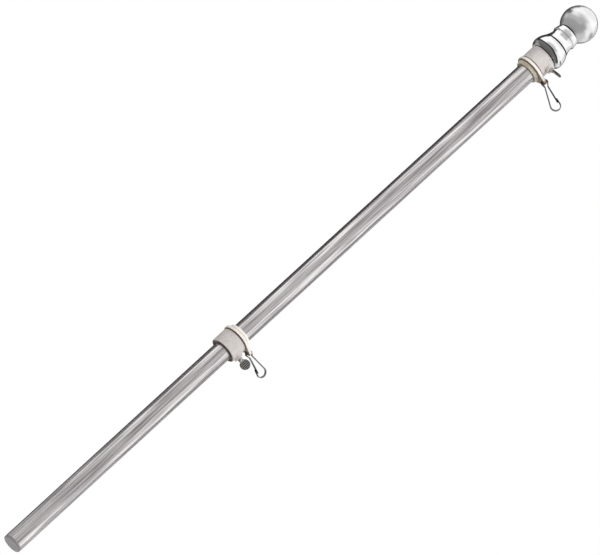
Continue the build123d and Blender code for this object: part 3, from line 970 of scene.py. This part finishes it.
# %% [markdown]
# ## The thumb screws
# A steel screw whose end is forged into a flat round spade, with raised grip ridges
# across both faces. The shank is a grid of rings: its threaded end has the thread cut as
# a helix into its radius, and towards the head the round section is squashed flat, as
# the forging did, and sinks into the spade. The spade is turned on the lathe, and a tree
# lays the ridges.

# %% A tree that lays grip ridges across both faces of a spade
tree, given, result = new_tree("grip_ridges", (
    ("Head Radius", "Float"), ("Face Height", "Float"), ("Ridge Pitch", "Float"),
    ("Ridge Count", "Int"), ("Ridge Width", "Float"), ("Ridge Height", "Float"),
    ("Hollow Shade", "Float"), ("Finish", "Material")))
# the spade is painted dark as shade between the ridges, and the ridges stay clean
dark = add_node(tree, "GeometryNodeStoreNamedAttribute", {
    "Geometry": given["Geometry"], "Name": "painted_shade", "Value": given["Hollow Shade"]}, data_type="FLOAT")
# the first ridge is half of all the steps away from the middle
steps = add_node(tree, "ShaderNodeMath", {
    0: given["Ridge Count"], 1: -0.5, 2: 0.5}, operation="MULTIPLY_ADD")
first = add_node(tree, "ShaderNodeMath", {0: steps, 1: given["Ridge Pitch"]}, operation="MULTIPLY")
bar = add_node(tree, "GeometryNodeMeshCylinder", {
    "Vertices": 12, "Side Segments": 1, "Radius": 1.0, "Depth": 2.0})
bar = add_node(tree, "GeometryNodeTransform", {
    "Geometry": bar.outputs["Mesh"], "Rotation": (0.0, math.pi / 2, 0.0)})
# half a chord of the head at each ridge, so that the ridges end on its round edge
here = add_node(tree, "GeometryNodeInputPosition")
across = add_node(tree, "ShaderNodeSeparateXYZ", {0: here}).outputs["Y"]
squared = add_node(tree, "ShaderNodeMath", {0: across, 1: across}, operation="MULTIPLY")
radius_squared = add_node(tree, "ShaderNodeMath", {
    0: given["Head Radius"], 1: given["Head Radius"]}, operation="MULTIPLY")
rest = add_node(tree, "ShaderNodeMath", {0: radius_squared, 1: squared}, operation="SUBTRACT")
half_chord = add_node(tree, "ShaderNodeMath", {0: rest}, operation="SQRT")
width = add_node(tree, "ShaderNodeMath", {0: given["Ridge Width"], 1: 0.5}, operation="MULTIPLY")
size = add_node(tree, "ShaderNodeCombineXYZ", {
    "X": half_chord, "Y": width, "Z": given["Ridge Height"]})
both = add_node(tree, "GeometryNodeJoinGeometry")
for face_side in (1.0, -1.0):
    height = add_node(tree, "ShaderNodeMath", {
        0: given["Face Height"], 1: face_side}, operation="MULTIPLY")
    start = add_node(tree, "ShaderNodeCombineXYZ", {"Y": first, "Z": height})
    offset = add_node(tree, "ShaderNodeCombineXYZ", {"Y": given["Ridge Pitch"]})
    row = add_node(tree, "GeometryNodeMeshLine", {
        "Count": given["Ridge Count"], "Start Location": start, "Offset": offset})
    bars = add_node(tree, "GeometryNodeInstanceOnPoints", {
        "Points": row, "Instance": bar, "Scale": size})
    tree.links.new(bars.outputs[0], both.inputs[0])
tree.links.new(dark.outputs[0], both.inputs[0])
ridge_tree = end_tree(tree, both, given["Finish"], result)

# %% The spade and the shank of a screw that points along +X
SCREW_RADIUS = 3.0 * MM
SCREW_TIP = 12.9 * MM  # from the pole's axis
BOSS_TOP = 20.55 * MM
FORGED_FROM = 23.95 * MM
HEAD_CENTRE = 30.45 * MM
HEAD_RADIUS = 6.5 * MM
HEAD_HALF = 1.4 * MM  # half its thickness, over the ridges
RIM_RADIUS = 1.4 * MM  # of each half of its rounded rim
RIM_BEND = 0.6  # how far in the rounding starts, in half thicknesses
RIDGE_HEIGHT = 0.28 * MM
RIDGE_WIDTH = 1.2 * MM
RIDGE_PITCH = 2.2 * MM
RIDGE_COUNT = 5
RIDGE_INSET = 0.5 * MM  # the ridges end this far inside the rim
HOLLOW_SHADE = 0.88  # painted shade on the spade, between the ridges
SQUASH_LEAD, SQUASH_LENGTH = 1.6 * MM, 2.4 * MM  # before the forging, and in all
FORGED_HALF = 1.85 * MM
SINK_LENGTH = 2.8 * MM  # over which the forging thins into the spade
SUNK_HALF = 0.5  # and to what share of the spade's thickness
THREAD_PITCH = 1.0 * MM
THREAD_DEPTH = 0.5 * MM
THREAD_ROWS = 8  # rings of points in one turn of the thread
POINT_LENGTH = 0.6 * MM
POINT_SHARE = 0.8  # the tip's share of the screw's radius
ROUND_STEPS = 48
plate = HEAD_HALF - RIDGE_HEIGHT  # half the thickness of the spade without its ridges


def shank_mesh():
    """Rings of points from the tip into the head: thread, plain shank, then the forging."""
    work = bmesh.new()
    thread_end = BOSS_TOP - THREAD_PITCH
    row_step = THREAD_PITCH / THREAD_ROWS
    rows = [SCREW_TIP + row_step * i for i in range(int((HEAD_CENTRE - SCREW_TIP) / row_step) + 1)]
    rings = []
    for x in rows:
        squash = ease((x - FORGED_FROM + SQUASH_LEAD) / SQUASH_LENGTH)
        cut = clamp((thread_end - x) / THREAD_PITCH)
        point = clamp((x - SCREW_TIP) / POINT_LENGTH)
        sunk = clamp((x - HEAD_CENTRE + HEAD_RADIUS) / SINK_LENGTH)
        flattened = FORGED_HALF + (SUNK_HALF * plate - FORGED_HALF) * sunk
        ring = []
        for step in range(ROUND_STEPS):
            turn = step / ROUND_STEPS
            wave = abs(((x / THREAD_PITCH - turn) % 1.0) * 2 - 1)  # 0 at a root, 1 at a crest
            radius = SCREW_RADIUS - THREAD_DEPTH * (1 - wave) * cut
            radius *= POINT_SHARE + (1 - POINT_SHARE) * point
            y = radius * math.cos(math.tau * turn)
            z = radius * math.sin(math.tau * turn)
            y += squash * (math.copysign(min(abs(y), flattened), y) - y)
            ring.append(work.verts.new((x, y, z)))
        rings.append(ring)
    join_rings(work, rings)
    work.faces.new(rings[0])
    work.faces.new(list(reversed(rings[-1])))
    return mesh_from(work, "shank")


rim = [(0.0, -plate), (HEAD_RADIUS - plate * RIM_BEND, -plate)]
rim += arc(rim[-1], (HEAD_RADIUS, 0.0), RIM_RADIUS, 6)
rim += arc(rim[-1], (HEAD_RADIUS - plate * RIM_BEND, plate), RIM_RADIUS, 6)
spade = lathe("spade", rim + [(0.0, plate)], steps=72)
print("shank rings done, spade", len(spade.data.polygons), "faces")

# %% Put both screws together
# how many degrees each head was left turned
for ring, head_turn in (("lower", 20.0), ("upper", -73.0)):
    turning = joints[f"{ring}_screw_turn"]
    facing = math.atan2(turning["axis"][1], turning["axis"][0])
    ridged = run_tree(f"{ring}_spade", spade.data.copy(), ridge_tree, {
        "Head Radius": HEAD_RADIUS - RIDGE_INSET, "Face Height": plate,
        "Ridge Pitch": RIDGE_PITCH, "Ridge Count": RIDGE_COUNT, "Ridge Width": RIDGE_WIDTH,
        "Ridge Height": RIDGE_HEIGHT, "Hollow Shade": HOLLOW_SHADE, "Finish": zinc_plate})
    # the ridges run along the spade's own X, and lie across the shank when it is stood up
    ridged.data.transform(
        Matrix.Translation((HEAD_CENTRE, 0, 0)) @ Matrix.Rotation(math.pi / 2, 4, "X")
        @ Matrix.Rotation(math.pi / 2, 4, "Z"))
    shank = shank_mesh()
    shank.materials.append(zinc_plate)
    shank.attributes.new("painted_shade", "FLOAT", "POINT")
    screw = new_object(f"{ring}_spade_screw", shank)
    with bpy.context.temp_override(active_object=screw, selected_editable_objects=[screw, ridged]):
        bpy.ops.object.join()
    screw.data.transform(
        Matrix.Translation((0, 0, turning["pos_m"][2])) @ Matrix.Rotation(facing, 4, "Z")
        @ Matrix.Rotation(math.radians(head_turn), 4, "X"))
    finish_piece(screw, f"{ring}_screw", f"{ring}_thumb_screw", None)
bpy.data.objects.remove(spade)

# %% The sizes of both boxes, and finish
size = {"cad": [list(corner) for corner in cad_box], "visual": [list(corner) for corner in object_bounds()]}
